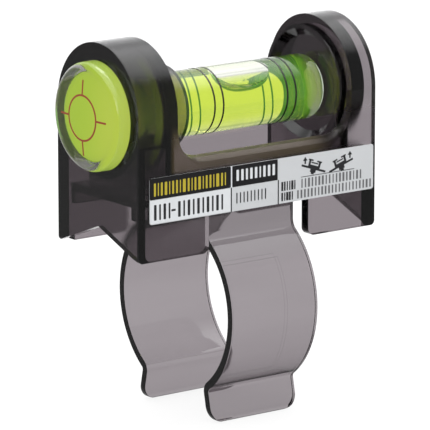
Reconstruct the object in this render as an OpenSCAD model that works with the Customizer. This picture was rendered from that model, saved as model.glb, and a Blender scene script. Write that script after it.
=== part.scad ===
/* [Pipe and clip] */
// Outside diameter of the pipe that the level clips onto
pipe_d = 34; // [24:0.5:48]
// Thickness of the spring clip
clip_t = 1.6; // [1.2:0.1:2.2]
// Length of the clip arms along the pipe
clip_w = 21; // [14:0.5:26]
// Half the gap between the two ridges at the mouth
mouth_y = 9.3; // [8:0.1:10.5]
// Length of each lip below its ridge
lip_len = 6.1; // [4:0.1:8]
// Lean of the lips away from the pipe
lip_lean = 12; // [4:1:20]
// Radius of the lips' lower corners
lip_corner = 3.2; // [1:0.1:4]
// Fillet where an arm swings out from its straight root
arm_fillet = 2.5; // [1.5:0.1:3.2]
// Radius of the bend outside each ridge, where the lip turns out
neck_r = 0.7; // [0.4:0.1:1.5]

/* [Housing] */
// Length of the housing
body_l = 57.6; // [50:0.1:70]
// Width of the housing
body_w = 26.6; // [26:0.1:30]
// Height of the feet above the pipe's axis
foot_z = 13.1; // [12.5:0.1:14]
// Height of the vial's axis above the feet
vial_rise = 26.8; // [25:0.1:32]
// Height of the arches' centre above the feet
arch_rise = 27.7; // [25:0.1:33]
// Thickness of the side walls
wall_t = 2.1; // [1.6:0.1:2.6]
// Thickness of the end plates
plate_t = 2.4; // [1.8:0.1:3]
// Length of the arch block at the lens end
left_block = 9.3; // [8.5:0.1:11]
// Length of the arch block at the far end
right_block = 6; // [5.6:0.1:8]
// Thickness of the inner plate of the lens end's block
left_rib = 2.1; // [1.6:0.1:2.6]
// Thickness of the inner plate under the far block's boss
right_rib = 1.9; // [1.9:0.1:2.6]
// Height of the far end plate above the feet
sill_rise = 15.5; // [11:0.1:16]
// Depth of the recess in the far end above that plate
recess_l = 1.9; // [1:0.1:3]
// Height of the saddle's inner edge above the feet
saddle_rise = 19.2; // [18:0.1:20]
// Radius of the saddle's lower corners, at its inner edge
saddle_corner = 5.7; // [4:0.1:7]
// Height over which the saddle's rim rounds off outward
rim_round = 2.3; // [1.6:0.1:2.4]
// Height of the clip's cut-out in the side walls, above the feet
gap_rise = 7.4; // [6.5:0.1:7.6]
// Slit beside each clip arm
arm_slit = 1.65; // [1:0.05:3]
// Radius of the feet's inner lower corners
foot_corner = 1.5; // [0.6:0.1:2.5]
// Radius of the housing's four outer lower corners
end_corner = 0.9; // [0.4:0.1:1.5]

/* [Rail inside the housing] */
// Height of the rail's underside above the feet
rail_rise = 10.2; // [9.8:0.1:11]
// Thickness of the rail's web
web_t = 1.6; // [1.2:0.1:2]
// Height of the lower edge of the rail's flanges above the feet
flange_rise = 7.7; // [7.6:0.1:9]

/* [Vial] */
// Radius of the vial's tube
tube_r = 6.5; // [5.5:0.1:6.8]
// Radius of the bore at the middle of the barrel
bore_r = 4; // [3.4:0.1:4.4]
// Radius of the barrel's curve along the vial
barrel_r = 4000; // [2000:100:8000]
// Radius of the lens head
head_r = 10.65; // [9.5:0.05:10.9]
// How far the lens head's rim stands out of the housing
head_out = 2.9; // [1:0.1:4]
// Height of the lens head's dome
dome_rise = 0.8; // [0.4:0.1:1.5]
// Radius of the liquid's pool behind the lens
pool_r = 8.7; // [6:0.1:9.2]
// Depth of the acrylic between the lens rim and the pool
lens_t = 1.4; // [1:0.1:2.5]
// Length of the pool's straight wall
pool_l = 3.6; // [2:0.1:4]
// Gap from the tube's end to the pocket's floor
tube_end_gap = 0.4; // [0.2:0.1:1.2]
// Rounding of the tube's end
tube_round = 1.2; // [0.5:0.1:1.4]
// Radius of the plug that seals the tube
plug_r = 5; // [4.6:0.1:5.2]
// Length of the plug
plug_l = 1.2; // [1:0.1:3]
// Depth of the plug's face inside the tube's end
plug_sunk = 0.2; // [0.1:0.1:1]
// Middle of the bubble's scale, along the housing from its centre
scale_x = 4.4; // [3:0.1:6]
// Distance from the scale's middle to its inner lines
inner_line = 7.85; // [6:0.05:9]
// Distance between two neighbouring lines
line_step = 2.1; // [1.5:0.05:3]
// Width of a line
line_w = 0.3; // [0.2:0.05:0.5]
// Length of the bubble
bubble_l = 13.6; // [10:0.1:15]
// Radius of the circle of the cross-hair mark
mark_r = 4.4; // [3:0.1:6]
// Length of the cross-hair's four ticks
tick_l = 2.8; // [1.5:0.1:4]
// Width of the cross-hair's lines
mark_w = 0.38; // [0.2:0.02:0.6]

/* [Sockets] */
// Outside radius of the collar round the tube
collar_r = 8.2; // [7.5:0.1:9]
// Length of the collar
collar_l = 6.5; // [3:0.1:8]
// Wall of the socket round the lens head
socket_wall = 1.6; // [1.2:0.1:2]
// Radius of the pocket round the tube's free end
pocket_r = 9.6; // [8.4:0.1:10]
// Depth of the pocket below the boss's face
pocket_l = 1.5; // [0.8:0.1:2.4]
// Height of the boss's centre above the feet
boss_rise = 27.3; // [25:0.1:32]
// Outside radius of the boss round the pocket
boss_r = 11.8; // [11.2:0.1:12.5]
// How far the boss stands out of the far block
boss_l = 1.8; // [1:0.1:2.4]
// Depth of the boss's dished mouth
dish_l = 1.4; // [0.4:0.1:1.4]
// Flat rim left round the dished mouth
dish_rim = 0.8; // [0.1:0.1:1.2]

/* [Label] */
// Length of the label
label_l = 54.6; // [46:0.1:56]
// Height of the label
label_h = 9; // [7:0.1:9.2]
// Distance from the label to the housing's far end
label_inset = 0.5; // [0.3:0.1:3]
// Thickness of the label
label_t = 0.15; // [0.1:0.05:0.3]
// Radius of the label's corners
label_corner = 0.6; // [0.2:0.1:1.5]

/* [Hidden] */
$fn = 96;
eps = 0.01;
lap = 0.05;

// Clearances between neighbouring pieces
seat_gap = 0.02;
fit_gap = 0.1;
rail_gap = 0.5;
film_gap = 0.15;
liquid_gap = 0.02;
bubble_gap = 0.05;
print_t = 0.07;

// Housing
x_left = -body_l / 2;
x_right = body_l / 2;
left_face = x_left + left_block;
right_face = x_right - right_block;
half_w = body_w / 2;
inner_y = half_w - wall_t;
arch_z = foot_z + arch_rise;
vial_z = foot_z + vial_rise;
top_z = arch_z + half_w;
gap_half = clip_w / 2 + arm_slit;

// The feet's outer corners and the pipe fix the V: both slopes touch the pipe
seat_r = pipe_d / 2 + seat_gap;
corner_r = norm([half_w, foot_z]);
slope_normal = atan2(foot_z, half_w) + acos(seat_r / corner_r);
v_apex = seat_r / sin(slope_normal);
v_slope = (v_apex - foot_z) / half_w;

// Saddle between the blocks
saddle_z = foot_z + saddle_rise;
rim_steps = [0, 30, 60, 90];

// Rail and clip arms
rail_z = foot_z + rail_rise;
rail_top = rail_z + web_t;
flange_z = foot_z + flange_rise;
rail_y = inner_y - rail_gap;
arm_y = rail_y - clip_t;
rail_l = body_l - 2 * (plate_t + fit_gap);
clip_r = pipe_d / 2;
clip_ro = clip_r + clip_t;

// Each arm is one strip: the root bends into the bow about the bend's centre,
// and the bow turns into the lip about the neck's centre
bend_y = rail_y + arm_fillet;
bend_z = sqrt(pow(clip_ro + arm_fillet, 2) - bend_y * bend_y);
bend_turn = atan2(bend_z, bend_y);
neck_y = mouth_y + clip_t + neck_r;
neck_z = -sqrt(pow(clip_ro + neck_r, 2) - neck_y * neck_y);
neck_turn = atan2(neck_z, neck_y);
lip_y = -neck_r - clip_t / 2;
lip_run = lip_len - clip_t / 2;
lip_foot_z = neck_z + lip_y * sin(lip_lean) - lip_run * cos(lip_lean) - clip_t / 2;

// Vial along the housing
head_front = x_left - head_out;
dome_r = (head_r * head_r + dome_rise * dome_rise) / (2 * dome_rise);
rib_left = left_face - left_rib;
head_back = rib_left - fit_gap;
pool_front = head_front + lens_t;
pool_back = pool_front + pool_l;
boss_face = right_face - boss_l;
pocket_end = boss_face + pocket_l;
tube_end = pocket_end - tube_end_gap;
plug_face = tube_end - plug_sunk;
plug_seat = plug_face - plug_l;
throat = pool_back + pool_r - bore_r;
barrel_steps = 16;

// Bubble in the top of the bore
bubble_top = bore_r - film_gap;
bubble_low = 0.4;
bubble_belly = 5;
bubble_w = 6.9;

// Far block
boss_z = foot_z + boss_rise;
sill_z = foot_z + sill_rise;
web_back = x_right - recess_l;

function barrel(x) = bore_r - pow(x - scale_x, 2) / (2 * barrel_r);

// Extrudes a (y, z) outline along X
module along_x(x, length) {
    translate([x, 0, 0]) rotate([90, 0, 90]) linear_extrude(length) children();
}

// Extrudes an (x, z) outline along Y
module along_y(y, length) {
    translate([0, y + length, 0]) rotate([90, 0, 0]) linear_extrude(length) children();
}

// Turns an (r, x) outline about the vial's axis
module turned() {
    translate([0, 0, vial_z]) rotate([0, 90, 0]) rotate_extrude() children();
}

// A round bar along X, on the vial's axis unless another height is given
module bar(x0, x1, r, z = vial_z) {
    translate([x0, 0, z]) rotate([0, 90, 0]) cylinder(h = x1 - x0, r = r);
}

// The corner that a round of radius r takes off a square corner at the origin
module corner_waste(r) {
    difference() {
        translate([-eps, -eps]) square(r + eps);
        translate([r, r]) circle(r);
    }
}

// A rectangle from the origin with round corners
module round_rect(w, h, r) {
    translate([r, 0]) square([w - 2 * r, h]);
    translate([0, r]) square([w, h - 2 * r]);
    for (x = [r, w - r], y = [r, h - r]) translate([x, y]) circle(r);
}

module arch_outline() {
    translate([-half_w, foot_z]) square([body_w, arch_rise]);
    translate([0, arch_z]) circle(half_w);
}

// The saddle's U outline: its foot is lowered by drop, and its corners grow with it
module saddle_outline(drop, height) {
    r = saddle_corner + drop;
    centre_z = saddle_z + saddle_corner;
    for (x = [left_face + r, right_face - r]) translate([x, centre_z]) circle(r, $fn = 48);
    translate([left_face + r, saddle_z - drop]) square([right_face - left_face - 2 * r, r]);
    translate([left_face, centre_z]) square([right_face - left_face, height]);
}

// One stretch of the rounded rim, between two angles of its quarter round
module rim_stretch(a0, a1) {
    hull() {
        for (a = [a0, a1]) {
            depth = wall_t * (1 - cos(a));
            along_y(-half_w + depth - eps, eps) saddle_outline(rim_round * (1 - sin(a)), eps);
        }
    }
}

module saddle_cut() {
    along_y(-half_w - 1, body_w + 2) saddle_outline(0, top_z);
    translate([left_face, -inner_y, foot_z - 1])
        cube([right_face - left_face, 2 * inner_y, top_z]);
    for (side = [0, 1]) mirror([0, side, 0]) {
        for (i = [0 : len(rim_steps) - 2]) rim_stretch(rim_steps[i], rim_steps[i + 1]);
    }
}

// Hollow of the lens end's block, open below and bounded above by the socket
module left_hollow() {
    x0 = x_left + plate_t;
    difference() {
        translate([x0, -inner_y, foot_z - 1]) cube([rib_left - x0, 2 * inner_y, vial_rise + 1]);
        bar(x_left, left_face, head_r + fit_gap + socket_wall);
    }
}

// Hollow of the far block: open below, and open at the end above the end plate.
// A thick round web closes it behind the pocket.
module right_hollow() {
    x0 = boss_face + right_rib;
    difference() {
        union() {
            translate([x0, -inner_y, foot_z - 1])
                cube([x_right - plate_t - x0, 2 * inner_y, boss_rise + 1]);
            translate([x0, -inner_y, sill_z]) cube([x_right + 1 - x0, 2 * inner_y, boss_z - sill_z]);
        }
        bar(right_face, web_back, inner_y, boss_z);
    }
    along_x(web_back, recess_l + 1) {
        translate([-inner_y, sill_z]) square([2 * inner_y, arch_z - sill_z]);
        translate([0, arch_z]) circle(inner_y);
    }
}

// Inner plate under the boss, flush with the boss's face
module boss_plate() {
    z0 = rail_top + seat_gap;
    translate([boss_face, -inner_y - eps, z0])
        cube([right_rib, 2 * (inner_y + eps), boss_z - z0]);
}

// Room for the clip's rail under the inner plates
module rail_room() {
    translate([x_left + plate_t, -inner_y, foot_z - 1])
        cube([body_l - 2 * plate_t, 2 * inner_y, rail_top + seat_gap - foot_z + 1]);
}

module v_seats() {
    reach = half_w + 3;
    for (x = [x_left - 1, x_right - plate_t]) along_x(x, plate_t + 1)
        polygon([[-reach, v_apex - reach * v_slope], [0, v_apex], [reach, v_apex - reach * v_slope]]);
}

// Cut-outs in both side walls for the clip arms, and the rounds of the feet
module wall_gaps() {
    along_y(-half_w - 1, body_w + 2) {
        translate([-gap_half, foot_z - 1]) square([2 * gap_half, gap_rise + 1]);
        for (side = [0, 1]) mirror([side, 0]) {
            translate([gap_half, foot_z]) corner_waste(foot_corner);
            translate([x_right, foot_z]) mirror([1, 0]) corner_waste(end_corner);
        }
    }
}

// Bores that hold the vial and the pocket round its free end
module vial_bores() {
    bar(x_left - 1, rib_left, head_r + fit_gap);
    bar(rib_left - 1, left_face + collar_l + 1, tube_r + fit_gap);
    bar(boss_face - 1, pocket_end, pocket_r, boss_z);
    translate([boss_face, 0, boss_z]) rotate([0, 90, 0])
        cylinder(h = dish_l, r1 = boss_r - dish_rim, r2 = pocket_r);
}

module body() {
    color([0.36, 0.33, 0.37, 0.6]) difference() {
        union() {
            difference() {
                along_x(x_left, body_l) arch_outline();
                saddle_cut();
                left_hollow();
                right_hollow();
                rail_room();
            }
            bar(left_face - eps, left_face + collar_l, collar_r);
            bar(boss_face, right_face + eps, boss_r, boss_z);
            boss_plate();
        }
        vial_bores();
        v_seats();
        wall_gaps();
    }
}

// Rail section: a web with a flange down each side
module rail_profile() {
    difference() {
        translate([-rail_y, flange_z]) square([2 * rail_y, rail_top - flange_z]);
        translate([-arm_y, flange_z - 1]) square([2 * arm_y, rail_z - flange_z + 1]);
    }
}

// Part of a ring between two angles less than half a turn apart
module band(r0, r1, a0, a1) {
    far = 2 * r1;
    mid = (a0 + a1) / 2;
    intersection() {
        difference() {
            circle(r1, $fn = 192);
            circle(r0, $fn = 192);
        }
        polygon([[0, 0], far * [cos(a0), sin(a0)], far * [cos(mid), sin(mid)], far * [cos(a1), sin(a1)]]);
    }
}

// One arm's section: straight root, bend, round bow, neck and lip
module arm_profile() {
    translate([arm_y, bend_z - eps]) square([clip_t, rail_z - bend_z + 2 * eps]);
    translate([bend_y, bend_z]) band(arm_fillet, arm_fillet + clip_t, 180, 180 + bend_turn);
    band(clip_r, clip_ro, neck_turn - lap, bend_turn + lap);
    translate([neck_y, neck_z]) {
        band(neck_r, neck_r + clip_t, 180 + neck_turn, 180 + lip_lean);
        rotate(lip_lean) {
            translate([lip_y - clip_t / 2, -lip_run]) square([clip_t, lip_run + eps]);
            translate([lip_y, -lip_run]) circle(clip_t / 2);
        }
    }
}

// Side view of both arms, which rounds the lips' corners
module arm_outline() {
    half = clip_w / 2;
    low = lip_foot_z - 1;
    difference() {
        translate([-half, low]) square([clip_w, rail_top - low]);
        for (side = [0, 1]) mirror([side, 0]) translate([-half, lip_foot_z]) corner_waste(lip_corner);
        translate([-half - 1, low - 1]) square([clip_w + 2, lip_foot_z - low + 1]);
    }
}

module clip() {
    color([0.62, 0.59, 0.62, 0.6]) {
        along_x(-rail_l / 2, rail_l) rail_profile();
        intersection() {
            along_x(-clip_w / 2, clip_w) for (side = [0, 1]) mirror([side, 0]) arm_profile();
            along_y(-clip_ro - 1, 2 * clip_ro + 2) arm_outline();
        }
    }
}

// The vial's hollow as an (r, x) outline: pool behind the lens, throat and barrel bore
module hollow_profile(gap) {
    step = (plug_seat - throat) / barrel_steps;
    polygon(concat(
        [[0, pool_front + gap], [pool_r - gap, pool_front + gap], [pool_r - gap, pool_back]],
        [for (i = [0 : barrel_steps]) [barrel(throat + i * step) - gap, throat + i * step - (i == barrel_steps ? gap : 0)]],
        [[0, plug_seat - gap]]));
}

module vial_tube() {
    color([0.85, 0.95, 0.85, 0.35]) difference() {
        union() {
            intersection() {
                bar(head_front - dome_rise - 1, head_back, head_r);
                translate([head_front - dome_rise + dome_r, 0, vial_z]) sphere(dome_r, $fn = 192);
            }
            turned() difference() {
                translate([0, head_back - eps]) square([tube_r, tube_end - head_back + eps]);
                translate([tube_r, tube_end]) rotate(180) corner_waste(tube_round);
            }
        }
        turned() hollow_profile(0);
        bar(plug_seat, tube_end + 1, plug_r + seat_gap);
    }
}

module vial_plug() {
    color([0.9, 0.95, 0.9, 0.5]) bar(plug_seat + seat_gap, plug_face, plug_r);
}

// The bubble: the bore's top, a shallow belly below and round ends
module bubble_shape(grow) {
    half = bubble_l / 2 - bubble_w / 2;
    intersection() {
        bar(scale_x - bubble_l, scale_x + bubble_l, bubble_top + grow);
        translate([0, 0, bubble_low + bubble_belly])
            bar(scale_x - bubble_l, scale_x + bubble_l, bubble_belly + grow);
        translate([scale_x, 0, vial_z]) linear_extrude(2 * bore_r) {
            for (x = [-half, half]) translate([x, 0]) circle(bubble_w / 2 + grow);
            translate([-half, -bubble_w / 2 - grow]) square([2 * half, bubble_w + 2 * grow]);
        }
    }
}

module liquid() {
    color([0.75, 0.9, 0.2, 0.8]) difference() {
        turned() hollow_profile(liquid_gap);
        bubble_shape(bubble_gap);
    }
}

module bubble() {
    color([0.95, 0.97, 0.95, 0.6]) bubble_shape(0);
}

module ring_lines() {
    color([0.08, 0.08, 0.07]) {
        for (side = [-1, 1], i = [0, 1]) {
            x = scale_x + side * (inner_line + i * line_step) - line_w / 2;
            difference() {
                bar(x, x + line_w, tube_r + print_t);
                bar(x - 1, x + line_w + 1, tube_r + eps);
            }
        }
    }
}

// Circle and four ticks printed on the lens dome
module cross_hair() {
    lens_x = head_front - dome_rise + dome_r;
    color([0.6, 0.2, 0.12]) intersection() {
        along_x(head_front - dome_rise - 1, 2) translate([0, vial_z]) {
            difference() {
                circle(mark_r + mark_w / 2);
                circle(mark_r - mark_w / 2);
            }
            for (turn = [0 : 90 : 270]) rotate(turn)
                translate([mark_r, -mark_w / 2]) square([tick_l, mark_w]);
        }
        translate([lens_x, 0, vial_z]) difference() {
            sphere(dome_r + print_t, $fn = 192);
            sphere(dome_r + eps, $fn = 192);
        }
    }
}

module label() {
    color([0.76, 0.77, 0.78]) along_y(-half_w - eps - label_t, label_t)
        translate([x_right - label_inset - label_l, foot_z + gap_rise])
            round_rect(label_l, label_h, label_corner);
}

body();
clip();
vial_tube();
vial_plug();
liquid();
bubble();
ring_lines();
cross_hair();
label();
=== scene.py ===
"""Clip-on pipe level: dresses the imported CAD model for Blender 4.5."""

import math

import bmesh
import bpy
from mathutils import Matrix, Vector


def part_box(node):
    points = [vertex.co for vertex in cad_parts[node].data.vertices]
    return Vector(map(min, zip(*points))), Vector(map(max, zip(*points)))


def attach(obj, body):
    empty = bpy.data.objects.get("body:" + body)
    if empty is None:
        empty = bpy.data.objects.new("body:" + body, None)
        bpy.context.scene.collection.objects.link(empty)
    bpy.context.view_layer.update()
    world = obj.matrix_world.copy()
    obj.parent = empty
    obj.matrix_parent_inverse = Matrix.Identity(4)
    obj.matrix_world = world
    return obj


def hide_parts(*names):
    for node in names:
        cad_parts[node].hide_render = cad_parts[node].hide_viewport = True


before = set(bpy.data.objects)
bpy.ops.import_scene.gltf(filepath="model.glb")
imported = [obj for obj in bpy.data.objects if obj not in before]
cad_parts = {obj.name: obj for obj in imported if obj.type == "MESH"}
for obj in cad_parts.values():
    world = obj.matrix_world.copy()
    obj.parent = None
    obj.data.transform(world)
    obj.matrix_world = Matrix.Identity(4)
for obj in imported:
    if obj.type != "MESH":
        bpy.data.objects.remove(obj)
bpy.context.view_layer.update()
scene = bpy.context.scene
MM = 0.001

# Sizes repeated from the part's source, in millimetres
VIAL_Z = 39.9
HALF_W = 13.3
ARCH_Z = 40.8
BOSS_Z = 40.4
HEAD_FRONT = -31.7
HEAD_BACK = -21.7
HEAD_R = 10.65
DOME_RISE = 0.8
TUBE_R = 6.5
TUBE_END = 22.1
BORE_R = 4.0
BORE_CURVE = 4000.0
POOL_R = 8.7
POOL_FRONT = -30.3
POOL_BACK = -26.7
PLUG_SEAT = 20.7
PLUG_FACE = 21.9
PLUG_R = 5.0
SCALE_X = 4.4
LINE_INNER = 7.85
LINE_STEP = 2.1
BUBBLE_L = 13.6
MARK_R = 4.4
MARK_W = 0.38
TICK_L = 2.8
LABEL_X = (-26.3, 28.3)
LABEL_Z = (20.5, 29.5)

# Sizes that the part's source lacks or has otherwise, in millimetres
RIM_ROUND = 1.5
TUBE_ROUND = 1.7
POOL_ROUND = 3.0
HEAD_EDGE = 0.2
HEAD_ROOT = 0.3
CLIP_EDGE = 0.2
PLUG_GAP = 0.05
PLUG_SUNK = 0.1
PLUG_EDGE = 0.3
LINE_W = 0.37
INK_THICK = 0.05
LINE_LIFT = 0.02
MARK_LIFT = 0.03
LABEL_CORNER = 0.5
FILM_GAP = 0.01
FILM_THICK = 0.1
PRINT_THICK = 0.012
PRINT_SUNK = 0.014
DASH_THICK = 0.04

# Places of the marks, the painted shade, the painted reflection and the painted glow that the
# materials draw, in millimetres
WINDOW_X, WINDOW_Z = -3.6, -0.4
WINDOW_HALF_X, WINDOW_HALF_Z = 6.6, 11.0
WINDOW_LINE = 0.07
CLIP_FRONT_Y = -12.0
CLIP_ROOT_SHADE = (8.5, 13.5)
POCKET_SHADE_EDGE = (10.2, 11.8)
POCKET_X = 20.5
RIM_Y = 10.9
RIM_LOW = (29.4, 30.2)
RIM_HIGH = (35.6, 39.6)
RIM_START = (-21.5, -20.5)
RIM_PAINTED_GLOW = (13.0, 19.0)
RIM_PAINTED_DIM = (9.0, 17.0)
HEAD_WALL = (10.3, 10.6)
SAWN_END = (21.75, 22.03)
POOL_DEPTH = (-28.5, -22.5)
POOL_GLOW_SIDE = (-8.5, 4.0)

# What lies inside the acrylic has its refraction set against it, not against air
PLASTIC_IOR = 1.49
LIQUID_IOR = 0.965
GAS_IOR = 0.70
PLUG_IOR = 1.012
SMOKE_TINT = (0.08, 0.0, 0.045)
ACRYLIC_TINT = (0.4, 1.0, 0.5)
WHITE = (1, 1, 1, 1)

# Levels that reflections see: the room in front, the floor and the backdrop behind, and overhead
ROOM, FLOOR_BEHIND, BACKDROP, SOFTBOX = 0.34, 0.95, 1.35, 2.4
AWAY = (0, 0, math.radians(-53))  # a turn after which X points away from the camera
FLOOR_HALF = 4.0
LAMP_AIM = Vector((0, 0, 0.03))

# The photo's camera, from the perspective solve: metres, millimetres and degrees
CAMERA_PLACE = (-0.5028, -0.6660, 0.2059)
CAMERA_LENS = 365.0
CAMERA_SHIFT = (0.01028, -0.0263)
CAMERA_DOWN, CAMERA_TURN = 12.638, -36.956


# ---------------------------------------------------------------- node tools
def add(tree, kind, **values):
    """Adds a node; values set its properties, and in_NAME its sockets."""
    node = tree.nodes.new(kind)
    for key, value in values.items():
        if key.startswith("in_"):
            node.inputs[key[3:].replace("_", " ")].default_value = value
        else:
            setattr(node, key, value)
    return node


def feed(tree, node, *values):
    """Fills a node's first inputs with sockets or plain values, and gives its first output."""
    for socket, value in zip(node.inputs, values):
        if hasattr(value, "is_output"):
            tree.links.new(value, socket)
        else:
            socket.default_value = value
    return node.outputs[0]


def math_node(tree, operation, one, two=0.0):
    """A Math node; what needs one value leaves the second out."""
    return feed(tree, add(tree, "ShaderNodeMath", operation=operation), one, two)


def product(tree, first, *others):
    """Multiplies two or more values."""
    for value in others:
        first = math_node(tree, "MULTIPLY", first, value)
    return first


def rest_of(tree, value):
    """What is left of one."""
    return math_node(tree, "SUBTRACT", 1.0, value)


def vector_node(tree, x=0.0, y=0.0, z=0.0):
    return feed(tree, tree.nodes.new("ShaderNodeCombineXYZ"), x, y, z)


def colour_node(tree, red, green, blue):
    return feed(tree, tree.nodes.new("ShaderNodeCombineColor"), red, green, blue)


def mix_shaders(tree, factor, one, two):
    return feed(tree, tree.nodes.new("ShaderNodeMixShader"), factor, one, two)


def add_shaders(tree, one, two):
    return feed(tree, tree.nodes.new("ShaderNodeAddShader"), one, two)


def soft_step(tree, source, low, high, at_low=0.0, at_high=1.0):
    """A soft step of a value between two limits."""
    step = add(tree, "ShaderNodeMapRange", interpolation_type="SMOOTHSTEP", in_From_Min=low,
               in_From_Max=high, in_To_Min=at_low, in_To_Max=at_high)
    tree.links.new(source, step.inputs["Value"])
    return step.outputs[0]


def band(tree, source, limits, at_low=0.0, at_high=1.0):
    """A soft step of a coordinate between two positions in millimetres."""
    return soft_step(tree, source, limits[0] * MM, limits[1] * MM, at_low, at_high)


def axes_of(tree, vector):
    """The x, y and z of a vector."""
    split = tree.nodes.new("ShaderNodeSeparateXYZ")
    tree.links.new(vector, split.inputs[0])
    return tuple(split.outputs)


def object_axes(tree):
    return axes_of(tree, tree.nodes.new("ShaderNodeTexCoord").outputs["Object"])


def axis_distance(tree, y, z, axis_z):
    """Distance from a line along X at a height in millimetres."""
    height = math_node(tree, "SUBTRACT", z, axis_z * MM)
    squares = math_node(tree, "ADD", product(tree, height, height), product(tree, y, y))
    return math_node(tree, "SQRT", squares)


def object_noise(tree, scale, detail=3.0, stretch=(1, 1, 1)):
    """Noise on Object coordinates, stretched along the axes."""
    coord = tree.nodes.new("ShaderNodeTexCoord")
    mapping = add(tree, "ShaderNodeMapping", in_Scale=stretch)
    tree.links.new(coord.outputs["Object"], mapping.inputs["Vector"])
    noise = add(tree, "ShaderNodeTexNoise", in_Scale=scale, in_Detail=detail)
    tree.links.new(mapping.outputs["Vector"], noise.inputs["Vector"])
    return noise.outputs["Fac"]


def plainly_seen(tree, path):
    """One for camera rays and for rays that come through clear plastic."""
    camera_ray, through = path.outputs["Is Camera Ray"], path.outputs["Is Transmission Ray"]
    return math_node(tree, "MAXIMUM", camera_ray, through)


# ---------------------------------------------------------------- materials
def new_material(name):
    mat = bpy.data.materials.new(name)
    mat.use_nodes = True
    tree = mat.node_tree
    tree.nodes.clear()
    return mat, tree, tree.nodes.new("ShaderNodeOutputMaterial")


def node_of(mat, kind):
    return next(n for n in mat.node_tree.nodes if n.type == kind)


def see_through(name, ior, rough=0.0, tint=(1, 1, 1), density=0.0, grain=0.0, stretch=(1, 1, 1),
                glow=None):
    """A clear or tinted plastic, liquid or gas: refraction, with absorption in the volume. The
    grain is the scale of a slight unevenness of its gloss, and glow is a colour and a strength."""
    glossiest, dullest = 0.6, 1.6
    mat, tree, out = new_material(name)
    shader = add(tree, "ShaderNodeBsdfPrincipled", in_Base_Color=WHITE, in_IOR=ior,
                 in_Roughness=rough, in_Transmission_Weight=1.0)
    if grain:
        ramp = add(tree, "ShaderNodeMapRange", in_To_Min=rough * glossiest,
                   in_To_Max=rough * dullest)
        tree.links.new(object_noise(tree, grain, 2.0, stretch), ramp.inputs["Value"])
        tree.links.new(ramp.outputs["Result"], shader.inputs["Roughness"])
    tree.links.new(shader.outputs["BSDF"], out.inputs["Surface"])
    if density:
        volume = feed(tree, tree.nodes.new("ShaderNodeVolumeAbsorption"), (*tint, 1), density)
        if glow:
            colour, strength = glow
            light = feed(tree, tree.nodes.new("ShaderNodeEmission"), (*colour, 1), strength)
            volume = add_shaders(tree, volume, light)
        tree.links.new(volume, out.inputs["Volume"])
    return mat


def ink(name, colour, rough=0.45):
    """A printed colour or the label's film, slightly uneven in tone."""
    uneven, grain = 0.05, 160.0
    mat, tree, out = new_material(name)
    dark, pale = ((*[min(1, c * part) for c in colour], 1) for part in (1 - uneven, 1 + uneven))
    tone = feed(tree, tree.nodes.new("ShaderNodeMixRGB"), object_noise(tree, grain), dark, pale)
    shader = add(tree, "ShaderNodeBsdfPrincipled", in_Roughness=rough)
    tree.links.new(tone, shader.inputs["Base Color"])
    tree.links.new(shader.outputs["BSDF"], out.inputs["Surface"])
    return mat


def mark_clip(mat):
    """Faint flow marks in the clip, painted shade on the front of its root, and the fine moulded
    outline of a window on its front arm."""
    line_loss, root_shade, flow_loss, clearest = 0.22, 0.25, 0.14, 1.06
    tree = mat.node_tree
    x, y, z = object_axes(tree)
    across = math_node(tree, "ABSOLUTE", math_node(tree, "SUBTRACT", x, WINDOW_X * MM))
    along = math_node(tree, "ABSOLUTE", math_node(tree, "SUBTRACT", z, WINDOW_Z * MM))
    edge = math_node(tree, "MAXIMUM", math_node(tree, "SUBTRACT", across, WINDOW_HALF_X * MM),
                     math_node(tree, "SUBTRACT", along, WINDOW_HALF_Z * MM))
    line = math_node(tree, "LESS_THAN", math_node(tree, "ABSOLUTE", edge), WINDOW_LINE * MM)
    front = math_node(tree, "LESS_THAN", y, CLIP_FRONT_Y * MM)
    mottle = product(tree, object_noise(tree, 70.0, 3.0, (0.5, 1.0, 4.0)), flow_loss)
    level = math_node(tree, "SUBTRACT", math_node(tree, "SUBTRACT", clearest, mottle),
                      product(tree, line, front, line_loss))
    # Painted shade: the front of the clip's root is darker over a band of height.
    root = product(tree, band(tree, z, CLIP_ROOT_SHADE, 0.0, root_shade),
                   math_node(tree, "LESS_THAN", y, 0.0))
    level = product(tree, level, rest_of(tree, root))
    shader = node_of(mat, "BSDF_PRINCIPLED")
    tree.links.new(colour_node(tree, level, level, level), shader.inputs["Base Color"])


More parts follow.
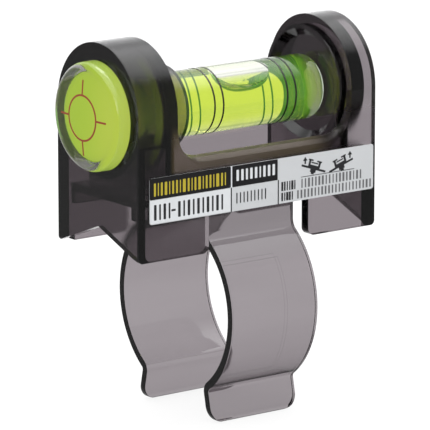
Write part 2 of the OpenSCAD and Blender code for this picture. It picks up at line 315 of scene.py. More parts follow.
def mark_housing(mat):
    """Painted shade darkens the pocket in the far block. The saddle's rim is made satin; its
    reflection is painted warm and dimmed towards the far end, and it carries a faint painted warm
    glow that stands in for the vial's light."""
    pocket_shade, satin, painted_glow_level, painted_end_dimming = 0.55, 0.22, 0.036, 0.8
    painted_sheen_loss = (0.30, 0.36, 0.46)
    tree = mat.node_tree
    shader = node_of(mat, "BSDF_PRINCIPLED")
    x, y, z = object_axes(tree)
    # Painted shade: the pocket in the far block is darkened.
    pocket_shade_mask = product(tree, band(tree, axis_distance(tree, y, z, BOSS_Z), POCKET_SHADE_EDGE, pocket_shade, 0.0),
                  math_node(tree, "GREATER_THAN", x, POCKET_X * MM))
    level = rest_of(tree, pocket_shade_mask)
    tree.links.new(colour_node(tree, level, level, level), shader.inputs["Base Color"])
    outside = math_node(tree, "GREATER_THAN", math_node(tree, "ABSOLUTE", y), RIM_Y * MM)
    rim = product(tree, outside, band(tree, z, RIM_LOW), band(tree, z, RIM_HIGH, 1.0, 0.0),
                  band(tree, x, RIM_START))
    rough = shader.inputs["Roughness"].links[0].from_socket
    matt = math_node(tree, "ADD", rough, product(tree, rim, satin))
    tree.links.new(matt, shader.inputs["Roughness"])
    # Painted reflection: the rim's highlight is tinted warm and dimmed towards the far end.
    painted_highlight_level = rest_of(tree, product(tree, rim, band(tree, x, RIM_PAINTED_DIM, 0.0, painted_end_dimming)))
    painted_sheen = [product(tree, rest_of(tree, product(tree, rim, loss)), painted_highlight_level) for loss in painted_sheen_loss]
    tree.links.new(colour_node(tree, *painted_sheen), shader.inputs["Specular Tint"])
    # Painted light: the rim glows faintly warm, as if lit by the vial, fading towards the far end.
    shader.inputs["Emission Color"].default_value = (1.0, 0.8, 0.43, 1)
    painted_glow = product(tree, rim, band(tree, x, RIM_PAINTED_GLOW, 1.0, 0.0), painted_glow_level)
    tree.links.new(painted_glow, shader.inputs["Emission Strength"])


def frost_vial(mat):
    """The head's turned side wall and the vial's sawn end are satin and scatter some daylight."""
    wall_part, wall_matt, end_part = 0.24, 0.3, 0.78
    tree = mat.node_tree
    surface = node_of(mat, "OUTPUT_MATERIAL").inputs["Surface"]
    clear = surface.links[0].from_socket
    x, y, z = object_axes(tree)
    through = add(tree, "ShaderNodeBsdfTranslucent", in_Color=(0.82, 0.85, 0.66, 1))
    matt = add(tree, "ShaderNodeBsdfDiffuse", in_Color=(0.62, 0.85, 0.3, 1))
    scatter = mix_shaders(tree, wall_matt, through.outputs[0], matt.outputs[0])
    wall = band(tree, axis_distance(tree, y, z, VIAL_Z), HEAD_WALL, 0.0, wall_part)
    turned_head = mix_shaders(tree, wall, clear, scatter)
    satin = add(tree, "ShaderNodeBsdfDiffuse", in_Color=(0.24, 0.33, 0.07, 1))
    sawn = band(tree, x, SAWN_END, 0.0, end_part)
    tree.links.new(mix_shaders(tree, sawn, turned_head, satin.outputs[0]), surface)


def deepen_pool(mat):
    """The wide pool behind the lens is far denser to look into than the narrow bore, and carries a
    painted glow that is a little paler towards the front wall."""
    density, glow_part = 620.0, 0.56
    tree = mat.node_tree
    volume = node_of(mat, "OUTPUT_MATERIAL").inputs["Volume"]
    plain = volume.links[0].from_socket
    x, y, _ = object_axes(tree)
    near = band(tree, x, POOL_DEPTH, 1.0, 0.0)
    absorb = add(tree, "ShaderNodeVolumeAbsorption", in_Color=(0, 0, 0, 1))
    tree.links.new(product(tree, near, density), absorb.inputs["Density"])
    # Painted light: the pool glows in proportion to its extra density, paler towards the front wall.
    tone = feed(tree, tree.nodes.new("ShaderNodeMixRGB"), band(tree, y, POOL_GLOW_SIDE, 1.0, 0.0),
                (0.74, 1.0, 0.09, 1), (0.93, 1.07, 0.16, 1))
    glow = feed(tree, tree.nodes.new("ShaderNodeEmission"), tone,
                product(tree, near, density * glow_part))
    tree.links.new(add_shaders(tree, plain, add_shaders(tree, absorb.outputs[0], glow)), volume)


SMOKE = see_through("smoke_moulding", PLASTIC_IOR, 0.08, SMOKE_TINT, 640.0, grain=60.0)
mark_housing(SMOKE)
SMOKE_CLIP = see_through("smoke_clip_moulding", PLASTIC_IOR, 0.05, SMOKE_TINT, 700.0, grain=120.0,
                         stretch=(0.4, 1, 1))
mark_clip(SMOKE_CLIP)
ACRYLIC = see_through("clear_acrylic", PLASTIC_IOR, tint=ACRYLIC_TINT, density=4.0)
frost_vial(ACRYLIC)
LIQUID = see_through("fluorescent_liquid", LIQUID_IOR, tint=(0.782, 0.768, 0.0), density=340.0,
                     glow=((0.30, 1.0, 0.25), 36.0))
deepen_pool(LIQUID)
GAS = see_through("bubble_gas", GAS_IOR)
PLUG = see_through("plug_acrylic", PLUG_IOR, tint=ACRYLIC_TINT, density=4.0)
BLACK_INK = ink("black_line_ink", (0.01, 0.01, 0.01))
RED_INK = ink("red_brown_ink", (0.30, 0.05, 0.015))
LABEL_SILVER = ink("label_silver", (0.60, 0.615, 0.625), 0.35)
LABEL_WHITE = ink("label_white", (0.72, 0.74, 0.755), 0.4)
LABEL_BLACK = ink("label_black", (0.004, 0.0035, 0.005), 0.55)
LABEL_GREY = ink("label_dark_grey", (0.015, 0.015, 0.018), 0.5)
LABEL_THIN = ink("label_thin_grey", (0.13, 0.13, 0.135), 0.5)
LABEL_YELLOW = ink("label_yellow", (0.50, 0.40, 0.02))


# ---------------------------------------------------------------- mesh tools
def finish_mesh(name, bm, material, smooth_angle=35):
    """Makes an object of a mesh, smooth except on edges sharper than the angle."""
    bmesh.ops.remove_doubles(bm, verts=bm.verts, dist=1e-8)
    bmesh.ops.recalc_face_normals(bm, faces=bm.faces)
    mesh = bpy.data.meshes.new(name)
    bm.to_mesh(mesh)
    bm.free()
    mesh.materials.append(material)
    obj = bpy.data.objects.new(name, mesh)
    scene.collection.objects.link(obj)
    for face in mesh.polygons:
        face.use_smooth = True
    mesh.set_sharp_from_angle(angle=math.radians(smooth_angle))
    return obj


def lathe(name, profile, material, steps, smooth_angle):
    """Turns (x, r) points, in millimetres, about the vial's axis; both ends are on the axis."""
    bm = bmesh.new()
    rings = []
    for x, r in profile:
        if r < 1e-6:
            rings.append([bm.verts.new((x * MM, 0, VIAL_Z * MM))])
        else:
            rings.append([
                bm.verts.new((x * MM, r * MM * math.sin(a), (VIAL_Z + r * math.cos(a)) * MM))
                for a in (2 * math.pi * i / steps for i in range(steps))])
    for one, two in zip(rings, rings[1:]):
        for i in range(steps):
            j = (i + 1) % steps
            if len(one) == 1:
                bm.faces.new((one[0], two[i], two[j]))
            elif len(two) == 1:
                bm.faces.new((one[i], one[j], two[0]))
            else:
                bm.faces.new((one[i], one[j], two[j], two[i]))
    return finish_mesh(name, bm, material, smooth_angle)


def arc(cx, cy, radius, start, end, steps):
    """Points of a round on a flat outline, between two angles in degrees."""
    turns = [math.radians(start + (end - start) * i / steps) for i in range(steps + 1)]
    return [(cx + radius * math.cos(a), cy + radius * math.sin(a)) for a in turns]


def mesh_result(obj):
    """A plain mesh of what an object's curve or modifiers make."""
    bpy.context.view_layer.update()
    return bpy.data.meshes.new_from_object(obj.evaluated_get(bpy.context.evaluated_depsgraph_get()))


def mesh_to_bmesh(mesh):
    """Moves a mesh into a bmesh and deletes it."""
    bm = bmesh.new()
    bm.from_mesh(mesh)
    bpy.data.meshes.remove(mesh)
    return bm


def slab(name, outline, y0, y1, material):
    """An (x, z) outline in millimetres, drawn out between two depths."""
    curve = bpy.data.curves.new(name, "CURVE")
    curve.dimensions = "2D"
    curve.fill_mode = "BOTH"
    spline = curve.splines.new("POLY")
    spline.points.add(len(outline) - 1)
    for point, (x, z) in zip(spline.points, outline):
        point.co = (x * MM, z * MM, 0, 1)
    spline.use_cyclic_u = True
    curve.extrude = abs(y1 - y0) / 2 * MM
    obj = bpy.data.objects.new(name, curve)
    scene.collection.objects.link(obj)
    mesh = mesh_result(obj)
    bpy.data.objects.remove(obj)
    upright = Matrix.Rotation(math.pi / 2, 4, "X")
    mesh.transform(Matrix.Translation((0, (y0 + y1) / 2 * MM, 0)) @ upright)
    return finish_mesh(name, mesh_to_bmesh(mesh), material)


def round_rect(x0, z0, x1, z1, r, steps=5):
    """An (x, z) outline of a rectangle with round corners."""
    points = []
    for cx, cz, start in ((x1 - r, z1 - r, 0), (x0 + r, z1 - r, 90), (x0 + r, z0 + r, 180),
                          (x1 - r, z0 + r, 270)):
        points += arc(cx, cz, r, start, start + 90, steps)
    return points


def join(name, parts):
    """Makes one object of several that share a material."""
    bm = bmesh.new()
    for part in parts:
        bm.from_mesh(part.data)
    material = parts[0].data.materials[0]
    for part in parts:
        bpy.data.objects.remove(part)
    return finish_mesh(name, bm, material)


# ---------------------------------------------------------------- housing and clip
def on_cylinder(normal, corners, centres):
    """The height of the axis, along X, of the round that a face belongs to, or None."""
    off_round, facing, along_axis = 0.012 * MM, 0.99, 1e-3
    if abs(normal.x) > along_axis:
        return None
    for centre in centres:
        radii = [math.hypot(co.y, co.z - centre * MM) for co in corners]
        middle = sum(corners, Vector()) / len(corners)
        out = Vector((0, middle.y, middle.z - centre * MM)).normalized()
        if max(radii) - min(radii) < off_round and abs(normal.dot(out)) > facing:
            return centre
    return None


def plane_faces(mesh):
    """Says of each face whether it is plane: faces of one plane that together are wider than a
    strip of a round are."""
    same_plane, strip_width = 0.999997, 0.9 * MM
    faces = mesh.polygons
    group = list(range(len(faces)))

    def root(i):
        while group[i] != i:
            group[i] = group[group[i]]
            i = group[i]
        return i

    around = {}
    for face in faces:
        for key in face.edge_keys:
            around.setdefault(key, []).append(face.index)
    for pair in around.values():
        if len(pair) == 2 and faces[pair[0]].normal.dot(faces[pair[1]].normal) > same_plane:
            group[root(pair[0])] = root(pair[1])
    area, low, high = {}, {}, {}
    for face in faces:
        r = root(face.index)
        area[r] = area.get(r, 0.0) + face.area
        for v in face.vertices:
            co = mesh.vertices[v].co
            low[r] = Vector(map(min, low.get(r, co), co))
            high[r] = Vector(map(max, high.get(r, co), co))
    wide = {r: area[r] / max((high[r] - low[r]).length, 1e-9) > strip_width for r in area}
    return [wide[root(face.index)] for face in faces]


def true_normals(piece, centres):
    """Plane faces keep their own normal and rounds run smoothly into them; the arches' outside
    and the bores get the exact normal of their cylinder."""
    on_one_round, runs_into_plane = 0.86, 0.94
    mesh = piece.data
    faces = mesh.polygons
    plane = plane_faces(mesh)
    at_vertex = {}
    for face in faces:
        for vertex in face.vertices:
            at_vertex.setdefault(vertex, []).append(face.index)
    normals = []
    for face in faces:
        own = face.normal
        corners = [mesh.vertices[v].co for v in face.vertices]
        centre = on_cylinder(own, corners, centres)
        for v, co in zip(face.vertices, corners):
            if centre is not None:
                out = Vector((0, co.y, co.z - centre * MM)).normalized()
                normals.append(out if own.dot(out) > 0 else -out)
            elif plane[face.index]:
                normals.append(own)
            else:
                near = [faces[i] for i in at_vertex[v] if faces[i].normal.dot(own) > on_one_round]
                flat = [f for f in near if plane[f.index] and f.normal.dot(own) > runs_into_plane]
                if flat:
                    normals.append(max(flat, key=lambda f: f.normal.dot(own)).normal)
                else:
                    total = Vector()
                    for f in near:
                        total += f.normal * math.sqrt(f.area)
                    normals.append(total.normalized())
    mesh.normals_split_custom_set([tuple(n) for n in normals])


def moulded(node, name, material, width=0.0):
    """A merged copy of a CAD node, smooth on its rounds, with softly rounded edges if asked."""
    merge, short, bevel_merge = (0.025 if width else 0.001) * MM, 0.01 * MM, 0.004 * MM
    flat_angle, sharp_angle, smooth_angle = 0.6, 32, 40 if width else 30
    bm = bmesh.new()
    bm.from_mesh(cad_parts[node].data)
    bmesh.ops.remove_doubles(bm, verts=bm.verts, dist=merge)
    if width:
        bmesh.ops.dissolve_degenerate(bm, edges=bm.edges, dist=short)
        bmesh.ops.dissolve_limit(bm, verts=bm.verts, edges=bm.edges,
                                 angle_limit=math.radians(flat_angle))
        sharp = [e for e in bm.edges
                 if len(e.link_faces) == 2 and e.calc_face_angle(0) > math.radians(sharp_angle)]
        bmesh.ops.bevel(bm, geom=sharp, offset=width * MM, offset_type="OFFSET", segments=2,
                        profile=0.5, affect="EDGES", clamp_overlap=False)
        bmesh.ops.remove_doubles(bm, verts=bm.verts, dist=bevel_merge)
        bmesh.ops.triangulate(bm, faces=[f for f in bm.faces if len(f.verts) > 4])
    return finish_mesh(name, bm, material, smooth_angle)


housing = moulded("body", "housing_moulding", SMOKE)
true_normals(housing, (ARCH_Z, VIAL_Z, BOSS_Z))
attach(housing, "level")
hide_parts("body")
spring_clip = moulded("clip", "clip_moulding", SMOKE_CLIP, CLIP_EDGE)
true_normals(spring_clip, (0.0,))
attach(spring_clip, "level")
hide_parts("clip")

# ---------------------------------------------------------------- vial
dome_radius = (HEAD_R ** 2 + DOME_RISE ** 2) / (2 * DOME_RISE)
dome_centre = HEAD_FRONT - DOME_RISE + dome_radius
dome_edge = math.degrees(math.asin((HEAD_R - RIM_ROUND) / dome_radius))
rim_x = dome_centre - dome_radius * math.cos(math.radians(dome_edge))
# The rim's round starts where it runs on from the dome's slope
rim_start, rim_depth = 172, 0.985 * RIM_ROUND
barrel_end = TUBE_END - TUBE_ROUND
acrylic_profile = arc(dome_centre, 0, dome_radius, 180, 180 - dome_edge, 24)
acrylic_profile += arc(rim_x + rim_depth, HEAD_R - RIM_ROUND, RIM_ROUND, rim_start, 90, 12)
acrylic_profile += [(HEAD_BACK - HEAD_EDGE, HEAD_R), (HEAD_BACK, HEAD_R - HEAD_EDGE),
                    (HEAD_BACK, TUBE_R + HEAD_ROOT), (HEAD_BACK + HEAD_ROOT, TUBE_R)]
acrylic_profile += [(HEAD_BACK + (barrel_end - HEAD_BACK) * i / 8, TUBE_R) for i in range(1, 9)]
acrylic_profile += arc(barrel_end, TUBE_R - TUBE_ROUND, TUBE_ROUND, 90, 0, 10)[1:]
acrylic_profile += [(TUBE_END, 0)]
vial_acrylic = lathe("vial_acrylic", acrylic_profile, ACRYLIC, steps=192, smooth_angle=28)
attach(vial_acrylic, "level")
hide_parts("vial_tube")

throat = POOL_BACK + POOL_R - BORE_R
liquid_profile = [(POOL_FRONT, 0)]
liquid_profile += arc(POOL_FRONT + POOL_ROUND, POOL_R - POOL_ROUND, POOL_ROUND, 180, 90, 10)
liquid_profile += [(POOL_BACK, POOL_R), (throat, BORE_R)]
liquid_profile += [(x, BORE_R - (x - SCALE_X) ** 2 / (2 * BORE_CURVE))
                   for x in (throat + (PLUG_SEAT - throat) * i / 12 for i in range(1, 13))]
liquid_profile += [(PLUG_SEAT, 0)]
vial_liquid = lathe("vial_liquid", liquid_profile, LIQUID, steps=160, smooth_angle=30)
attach(vial_liquid, "level")
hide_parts("liquid")

plug_x, plug_end, plug_r = PLUG_SEAT + PLUG_GAP, PLUG_FACE - PLUG_SUNK, PLUG_R - PLUG_GAP
plug_profile = [(plug_x, 0), (plug_x, plug_r - PLUG_EDGE), (plug_x + PLUG_EDGE, plug_r),
                (plug_end, plug_r), (plug_end, 0)]
vial_plug = lathe("vial_end_plug", plug_profile, PLUG, steps=96, smooth_angle=30)
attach(vial_plug, "level")
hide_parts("vial_plug")


def bubble_mesh(name, material):
    """The bubble lies against the bore's top: a lens-shaped section with round ends. Its top
    follows a round just under the bore, and its belly hangs from floor_z by the depth deep."""
    half, half_y, top_r, floor_z, deep = BUBBLE_L / 2, 3.42, 3.9, 3.45, 2.95
    end_power, side_power = 2.5, 0.95
    across, along = 40, 72
    bm = bmesh.new()
    rows = []
    for i in range(along + 1):
        x = half * math.sin((-1 + 2 * i / along) * math.pi / 2)
        scale = math.sqrt(max(0.0, 1 - abs(x / half) ** end_power))
        ring = []
        for k in range(across):
            a = 2 * math.pi * k / across
            y = half_y * scale * math.copysign(abs(math.cos(a)) ** side_power, math.cos(a))
            top = math.sqrt(max(0.0, top_r ** 2 - y ** 2))
            bulge = math.sqrt(max(0.0, 1 - (y / (floor_z * max(scale, 1e-6))) ** 2))
            z = top if math.sin(a) >= 0 else min(floor_z - deep * scale * bulge, top)
            ring.append(bm.verts.new(((SCALE_X + x) * MM, y * MM, (VIAL_Z + z) * MM)))
        rows.append(ring)
    for one, two in zip(rows, rows[1:]):
        for k in range(across):
            j = (k + 1) % across
            bm.faces.new((one[k], one[j], two[j], two[k]))
    bmesh.ops.remove_doubles(bm, verts=bm.verts, dist=1e-6)
    bmesh.ops.holes_fill(bm, edges=bm.edges)
    return finish_mesh(name, bm, material, smooth_angle=60)


bubble = bubble_mesh("gas_bubble", GAS)
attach(bubble, "air")
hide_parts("bubble")


# ---------------------------------------------------------------- printed lines
def node_group(name, sockets):
    """An empty geometry tree with named inputs, and the inputs' identifiers."""
    tree = bpy.data.node_groups.new(name, "GeometryNodeTree")
    keys = {}
    for label, kind in sockets:
        socket = tree.interface.new_socket(name=label, in_out="INPUT", socket_type=kind)
        keys[label] = socket.identifier
    tree.interface.new_socket(name="Geometry", in_out="OUTPUT", socket_type="NodeSocketGeometry")
    return tree, keys, tree.nodes.new("NodeGroupInput"), tree.nodes.new("NodeGroupOutput")


def grown(name, tree, keys, values, material):
    """Runs a geometry tree once and keeps its result as a plain mesh."""
    seed = bpy.data.objects.new(name + "_tree", bpy.data.meshes.new(name + "_tree"))
    scene.collection.objects.link(seed)
    modifier = seed.modifiers.new("tree", "NODES")
    modifier.node_group = tree
    for label, value in values.items():
        modifier[keys[label]] = value
    mesh = mesh_result(seed)
    seed.modifiers.remove(modifier)
    bpy.data.objects.remove(seed)
    return finish_mesh(name, mesh_to_bmesh(mesh), material)


def ink_instances(tree, instances, given, out):
    """The end of a tree: real geometry in the given ink."""
    real = tree.nodes.new("GeometryNodeRealizeInstances")
    tree.links.new(instances, real.inputs["Geometry"])
    inked = tree.nodes.new("GeometryNodeSetMaterial")
    tree.links.new(real.outputs["Geometry"], inked.inputs["Geometry"])
    tree.links.new(given.outputs["Ink"], inked.inputs["Material"])
    tree.links.new(inked.outputs["Geometry"], out.inputs["Geometry"])


def scale_tree():
    """Bands round the vial: a pair of neighbouring lines on each side of the scale's middle."""
    tree, keys, given, out = node_group("vial_scale", (
        ("Middle", "NodeSocketFloat"), ("Inner", "NodeSocketFloat"), ("Step", "NodeSocketFloat"),
        ("Lines", "NodeSocketInt"), ("Radius", "NodeSocketFloat"), ("Width", "NodeSocketFloat"),
        ("Thick", "NodeSocketFloat"), ("Height", "NodeSocketFloat"), ("Ink", "NodeSocketMaterial")))
    ring = add(tree, "GeometryNodeCurvePrimitiveCircle", mode="RADIUS", in_Resolution=160)
    tree.links.new(given.outputs["Radius"], ring.inputs["Radius"])
    section = add(tree, "GeometryNodeCurvePrimitiveQuadrilateral", mode="RECTANGLE")
    tree.links.new(given.outputs["Thick"], section.inputs["Width"])
    tree.links.new(given.outputs["Width"], section.inputs["Height"])
    swept = tree.nodes.new("GeometryNodeCurveToMesh")
    tree.links.new(ring.outputs["Curve"], swept.inputs["Curve"])
    tree.links.new(section.outputs["Curve"], swept.inputs["Profile Curve"])
    upright = add(tree, "GeometryNodeTransform", in_Rotation=(0, math.pi / 2, 0))
    tree.links.new(swept.outputs["Mesh"], upright.inputs["Geometry"])
    both = tree.nodes.new("GeometryNodeJoinGeometry")
    for side in (1, -1):
        row = add(tree, "GeometryNodeMeshLine", mode="OFFSET")
        tree.links.new(given.outputs["Lines"], row.inputs["Count"])
        inner = product(tree, given.outputs["Inner"], float(side))
        start = math_node(tree, "ADD", inner, given.outputs["Middle"])
        tree.links.new(vector_node(tree, start, 0.0, given.outputs["Height"]),
                       row.inputs["Start Location"])
        step = product(tree, given.outputs["Step"], float(side))
        tree.links.new(vector_node(tree, step), row.inputs["Offset"])
        placed = tree.nodes.new("GeometryNodeInstanceOnPoints")
        tree.links.new(row.outputs["Mesh"], placed.inputs["Points"])
        tree.links.new(upright.outputs["Geometry"], placed.inputs["Instance"])
        tree.links.new(placed.outputs["Instances"], both.inputs["Geometry"])
    ink_instances(tree, both.outputs["Geometry"], given, out)
    return tree, keys


tree, keys = scale_tree()
graduation = grown("graduation_lines", tree, keys, {
    "Middle": SCALE_X * MM, "Inner": LINE_INNER * MM, "Step": LINE_STEP * MM, "Lines": 2,
    "Radius": (TUBE_R + LINE_LIFT) * MM, "Width": LINE_W * MM, "Thick": INK_THICK * MM,
    "Height": VIAL_Z * MM, "Ink": BLACK_INK}, BLACK_INK)
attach(graduation, "level")
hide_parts("ring_lines")


def reticle_mesh(name, material):
    """Circle and four ticks that follow the dome."""
    bm = bmesh.new()
    half, lift = MARK_W / 2, MARK_LIFT

    def on_dome(y, z, out):
        """A point of the dome, moved out along X."""
        x = dome_centre - math.sqrt(dome_radius ** 2 - y ** 2 - z ** 2) - out
        return (x * MM, y * MM, (VIAL_Z + z) * MM)

    def strip(inner, outer, closed):
        """A thin printed band between two rows of points."""
        n = len(inner)
        layers = [[bm.verts.new(on_dome(y, z, out)) for y, z in points]
                  for points, out in ((inner, lift), (outer, lift), (outer, -lift), (inner, -lift))]
        for a, b in zip(layers, layers[1:] + layers[:1]):
            for i in range(n if closed else n - 1):
                j = (i + 1) % n
                bm.faces.new((a[i], a[j], b[j], b[i]))
        if not closed:
            for i in (0, n - 1):
                bm.faces.new([layer[i] for layer in layers])

    turns = [2 * math.pi * i / 128 for i in range(128)]
    inner, outer = ([(r * math.cos(a), r * math.sin(a)) for a in turns]
                    for r in (MARK_R - half, MARK_R + half))
    strip(inner, outer, True)
    radii = [MARK_R + half + TICK_L * i / 8 for i in range(9)]
    for k in range(4):
        c, s = math.cos(k * math.pi / 2), math.sin(k * math.pi / 2)
        one, two = ([(r * c - side * s, r * s + side * c) for r in radii] for side in (half, -half))
        strip(one, two, False)
    return finish_mesh(name, bm, material)


reticle = reticle_mesh("lens_reticle", RED_INK)
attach(reticle, "level")
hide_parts("cross_hair")

# ---------------------------------------------------------------- label
# Outlines on the label are (x, z) in millimetres of the part's own frame
FACE = -HALF_W - FILM_GAP
PRINT_Y = FACE - FILM_THICK
film = slab("label_film", round_rect(LABEL_X[0], LABEL_Z[0], LABEL_X[1], LABEL_Z[1], LABEL_CORNER),
            PRINT_Y, FACE, LABEL_SILVER)
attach(film, "level")
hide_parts("label")


def printed(name, shapes, material, layer=1):
    """Flat shapes printed on the label, each an (x, z) outline."""
    y = PRINT_Y - PRINT_THICK * layer
    piece = join(name, [slab("shape", shape, y - PRINT_THICK, y + PRINT_SUNK, material)
                        for shape in shapes])
    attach(piece, "level")


def blocks(x, z0, z1, widths, gap):
    """A row of plain blocks from x on."""
    corner = 0.12
    row = []
    for width in widths:
        row.append(round_rect(x, z0, x + width, z1, corner, 2))
        x += width + gap
    return row


def turned(points, x, z, degrees):
    """Moves an outline drawn about the origin to (x, z), tilted."""
    c, s = math.cos(math.radians(degrees)), math.sin(math.radians(degrees))
    return [(x + px * c - pz * s, z + px * s + pz * c) for px, pz in points]


def box_outline(x0, z0, x1, z1):
    return [(x0, z0), (x1, z0), (x1, z1), (x0, z1)]


def pictogram(x, z, tilt, arrow_x, arrow_z):
    """A level on a sloping bar, with an arrow that points up over the bar's raised end."""
    # The bar and the two blocks under it, the level's bed, uprights, caps and vial
    boxes = ((-3.1, -0.2, 3.1, 0.2), (-0.7, -0.8, 0.7, -0.2), (-0.38, -1.15, 0.38, -0.8),
             (-1.5, 0.2, 1.5, 0.62), (-1.5, 0.62, -1.0, 1.5), (1.0, 0.62, 1.5, 1.5),
             (-1.7, 1.38, -0.5, 1.68), (0.5, 1.38, 1.7, 1.68), (-0.85, 0.95, 0.85, 1.2))
    shapes = [turned(box_outline(*box), x, z, tilt) for box in boxes]
    shaft, shaft_top, barb, barb_z, tip_z = 0.17, 0.8, 0.55, 0.65, 1.4
    shapes += [box_outline(arrow_x - shaft, arrow_z, arrow_x + shaft, arrow_z + shaft_top),
               [(arrow_x - barb, arrow_z + barb_z), (arrow_x + barb, arrow_z + barb_z),
                (arrow_x, arrow_z + tip_z)]]
    return shapes


def dash_tree():
    """A row of small upright dashes of uneven width."""
    tree, keys, given, out = node_group("print_row", (
        ("Start", "NodeSocketVector"), ("Pitch", "NodeSocketFloat"), ("Count", "NodeSocketInt"),
        ("Width", "NodeSocketFloat"), ("Height", "NodeSocketFloat"), ("Thick", "NodeSocketFloat"),
        ("Uneven", "NodeSocketFloat"), ("Seed", "NodeSocketInt"), ("Ink", "NodeSocketMaterial")))
    row = add(tree, "GeometryNodeMeshLine", mode="OFFSET")
    tree.links.new(given.outputs["Count"], row.inputs["Count"])
    tree.links.new(given.outputs["Start"], row.inputs["Start Location"])
    tree.links.new(vector_node(tree, given.outputs["Pitch"]), row.inputs["Offset"])
    dash = tree.nodes.new("GeometryNodeMeshCube")
    size = [given.outputs[side] for side in ("Width", "Thick", "Height")]
    tree.links.new(vector_node(tree, *size), dash.inputs["Size"])
    placed = tree.nodes.new("GeometryNodeInstanceOnPoints")
    tree.links.new(row.outputs["Mesh"], placed.inputs["Points"])
    tree.links.new(dash.outputs["Mesh"], placed.inputs["Instance"])
    chance = add(tree, "FunctionNodeRandomValue", data_type="FLOAT")
    low, high = [socket for socket in chance.inputs if socket.type == "VALUE"][:2]
    tree.links.new(rest_of(tree, given.outputs["Uneven"]), low)
    tree.links.new(math_node(tree, "ADD", 1.0, given.outputs["Uneven"]), high)
    tree.links.new(given.outputs["Seed"], chance.inputs["Seed"])
    value = next(socket for socket in chance.outputs if socket.type == "VALUE")
    tree.links.new(vector_node(tree, value, 1.0, 1.0), placed.inputs["Scale"])
    ink_instances(tree, placed.outputs["Instances"], given, out)
    return tree, keys


printed("label_black_fields", [
    round_rect(-26.3, 25.3, -6.95, 29.5, 0.3), round_rect(-6.6, 25.3, 4.45, 29.45, 0.1),
    round_rect(-6.95, 20.5, -6.7, 25.3, 0.05), round_rect(4.5, 20.5, 4.75, 25.3, 0.05)], LABEL_BLACK)
printed("label_white_fields", [
    round_rect(-26.2, 20.65, -7.05, 25.2, 0.2), round_rect(-6.95, 25.3, -6.65, 29.4, 0.05)],
    LABEL_WHITE)
printed("label_yellow_bars", blocks(
    -25.3, 25.95, 28.5, (0.45, 0.25, 0.45, 0.6, 0.25, 0.45, 0.45, 0.25, 0.7) * 2 + (0.45, 0.25),
    0.46), LABEL_YELLOW, 2)
printed("label_dark_bars",
        blocks(-25.3, 21.25, 24.3, (0.6, 0.4) * 2, 0.62) + [box_outline(-21.2, 22.55, -20.2, 22.95)]
        + blocks(-19.6, 21.25, 24.3, (0.6, 0.4) * 5, 0.64), LABEL_GREY, 2)
printed("label_pale_bars", blocks(
    -5.6, 26.4, 28.6, (0.6, 0.6, 0.5, 0.6, 0.6, 0.35, 0.6, 0.6, 0.6), 0.54), LABEL_WHITE, 2)
printed("label_thin_bars", blocks(-5.6, 21.95, 24.1, (0.25,) * 9, 0.62), LABEL_GREY, 2)
printed("label_pictograms",
        pictogram(13.3, 26.45, -18.7, 11.25, 27.6) + pictogram(20.2, 26.2, 18.5, 22.4, 27.4)
        + [box_outline(10.2, 25.05, 23.5, 25.17)], LABEL_GREY)

# Rows of small print: x from and to, z from and to, pitch, dash width and ink
SMALL_PRINT = ((5.4, 8.6, 22.95, 24.75, 0.62, 0.40, LABEL_GREY),
               (10.3, 25.0, 22.95, 24.75, 0.86, 0.36, LABEL_THIN),
               (5.4, 8.5, 20.95, 22.6, 0.62, 0.40, LABEL_GREY),
               (9.3, 27.7, 20.95, 22.6, 0.86, 0.36, LABEL_THIN))
UNEVEN = 0.35
FIRST_SEED = 7
tree, keys = dash_tree()
for turn_no, (x0, x1, z0, z1, step, width, material) in enumerate(SMALL_PRINT):
    row = grown("label_small_print_%d" % (turn_no + 1), tree, keys, {
        "Start": ((x0 + width / 2) * MM, PRINT_Y * MM, (z0 + z1) / 2 * MM), "Pitch": step * MM,
        "Count": int((x1 - x0) / step) + 1, "Width": width * MM, "Height": (z1 - z0) * MM,
        "Thick": DASH_THICK * MM, "Uneven": UNEVEN, "Seed": FIRST_SEED + turn_no, "Ink": material},
        material)
    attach(row, "level")

# ---------------------------------------------------------------- stage
floor_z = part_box("clip")[0].z


def stage_floor():
    """White to the camera and through clear plastic, dim in reflections, with a soft shadow."""
    bounced, shadow_part, white_part = 0.5, 0.12, 0.88
    sideways, behind = 0.4, 0.8
    mat, tree, out = new_material("pale_floor")
    path = tree.nodes.new("ShaderNodeLightPath")
    plain = add(tree, "ShaderNodeBsdfDiffuse", in_Color=(bounced, bounced, bounced, 1))
    part = add(tree, "ShaderNodeBsdfDiffuse", in_Color=(shadow_part, shadow_part, shadow_part, 1))
    glow = add(tree, "ShaderNodeEmission", in_Color=WHITE, in_Strength=white_part)
    turn = add(tree, "ShaderNodeMapping", in_Rotation=AWAY)
    tree.links.new(tree.nodes.new("ShaderNodeTexCoord").outputs["Object"], turn.inputs["Vector"])
    unit = add(tree, "ShaderNodeVectorMath", operation="NORMALIZE")
    tree.links.new(turn.outputs["Vector"], unit.inputs[0])
    away, _, _ = axes_of(tree, unit.outputs["Vector"])
    dim = feed(tree, tree.nodes.new("ShaderNodeEmission"), WHITE,
               soft_step(tree, away, sideways, behind, ROOM, FLOOR_BEHIND))
    mirrored = mix_shaders(tree, path.outputs["Is Glossy Ray"], plain.outputs[0], dim)
    pale = add_shaders(tree, part.outputs[0], glow.outputs[0])
    tree.links.new(mix_shaders(tree, plainly_seen(tree, path), mirrored, pale), out.inputs["Surface"])
    mesh = bpy.data.meshes.new("floor")
    corners = [(x * FLOOR_HALF, y * FLOOR_HALF, floor_z)
               for x, y in ((-1, -1), (1, -1), (1, 1), (-1, 1))]
    mesh.from_pydata(corners, [], [(0, 1, 2, 3)])
    mesh.materials.append(mat)
    obj = bpy.data.objects.new("floor", mesh)
    scene.collection.objects.link(obj)


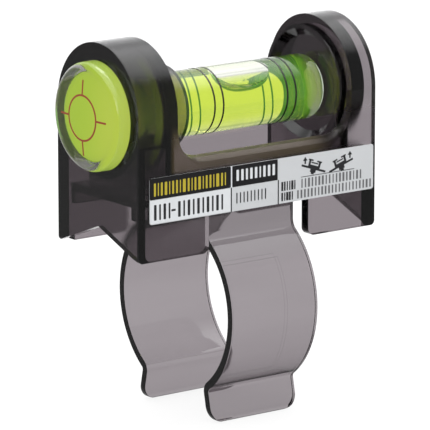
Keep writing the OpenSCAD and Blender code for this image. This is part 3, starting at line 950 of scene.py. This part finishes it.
def studio_world():
    """Reflections see a dim room in front, the white backdrop behind and a large softbox overhead.
    Clear parts see white behind them, and soft bands of light and grey overhead."""
    sideways, behind, rising, overhead = 0.35, 0.8, 0.55, 0.85
    band_low, band_high = 0.3, 0.5
    band_count, band_swing, band_level = 34.0, 0.16, 0.80
    world = bpy.data.worlds.new("studio")
    scene.world = world
    world.use_nodes = True
    tree = world.node_tree
    tree.nodes.clear()
    out = tree.nodes.new("ShaderNodeOutputWorld")
    path = tree.nodes.new("ShaderNodeLightPath")
    turn = add(tree, "ShaderNodeMapping", vector_type="POINT", in_Rotation=AWAY)
    tree.links.new(tree.nodes.new("ShaderNodeTexCoord").outputs["Generated"], turn.inputs["Vector"])
    away, _, up = axes_of(tree, turn.outputs["Vector"])
    power = math_node(tree, "ADD", soft_step(tree, away, sideways, behind, ROOM, BACKDROP),
                      soft_step(tree, up, rising, overhead, 0.0, SOFTBOX))
    soft = feed(tree, tree.nodes.new("ShaderNodeBackground"), (0.99, 0.99, 1.0, 1), power)
    wave = math_node(tree, "SINE", product(tree, up, band_count))
    bands = math_node(tree, "ADD", product(tree, wave, band_swing), band_level)
    loss = product(tree, soft_step(tree, up, band_low, band_high),
                   path.outputs["Is Transmission Ray"], rest_of(tree, bands))
    white = feed(tree, tree.nodes.new("ShaderNodeBackground"), WHITE, rest_of(tree, loss))
    tree.links.new(mix_shaders(tree, plainly_seen(tree, path), soft, white), out.inputs["Surface"])


def lamp(name, place, size, size_y, watts):
    """A soft rectangular lamp that faces the object."""
    data = bpy.data.lights.new(name, "AREA")
    data.energy = watts
    data.shape = "RECTANGLE"
    data.size, data.size_y = size, size_y
    obj = bpy.data.objects.new(name, data)
    obj.location = place
    obj.rotation_euler = (LAMP_AIM - Vector(place)).to_track_quat("-Z", "Y").to_euler()
    scene.collection.objects.link(obj)


stage_floor()
studio_world()
lamp("top_softbox", (0.1, 0.15, 0.7), 0.5, 0.3, 2.5)
lamp("front_fill", (-0.5, -0.75, 0.45), 0.5, 0.5, 2.0)

# ---------------------------------------------------------------- camera
camera = bpy.data.objects.new("camera", bpy.data.cameras.new("camera"))
camera.data.sensor_width = 36
camera.data.lens = CAMERA_LENS
camera.data.shift_x, camera.data.shift_y = CAMERA_SHIFT
camera.data.clip_start = 0.01
camera.location = CAMERA_PLACE
camera.rotation_euler = (math.radians(90 - CAMERA_DOWN), 0, math.radians(CAMERA_TURN))
scene.collection.objects.link(camera)
scene.camera = camera

scene.view_settings.view_transform = "Standard"
scene.cycles.use_denoising = True
scene.cycles.max_bounces = 24
scene.cycles.transmission_bounces = 24
scene.cycles.transparent_max_bounces = 16
scene.cycles.glossy_bounces = 8
scene.cycles.volume_bounces = 0
scene.cycles.volume_step_rate = 0.15
scene.cycles.sample_clamp_indirect = 6.0
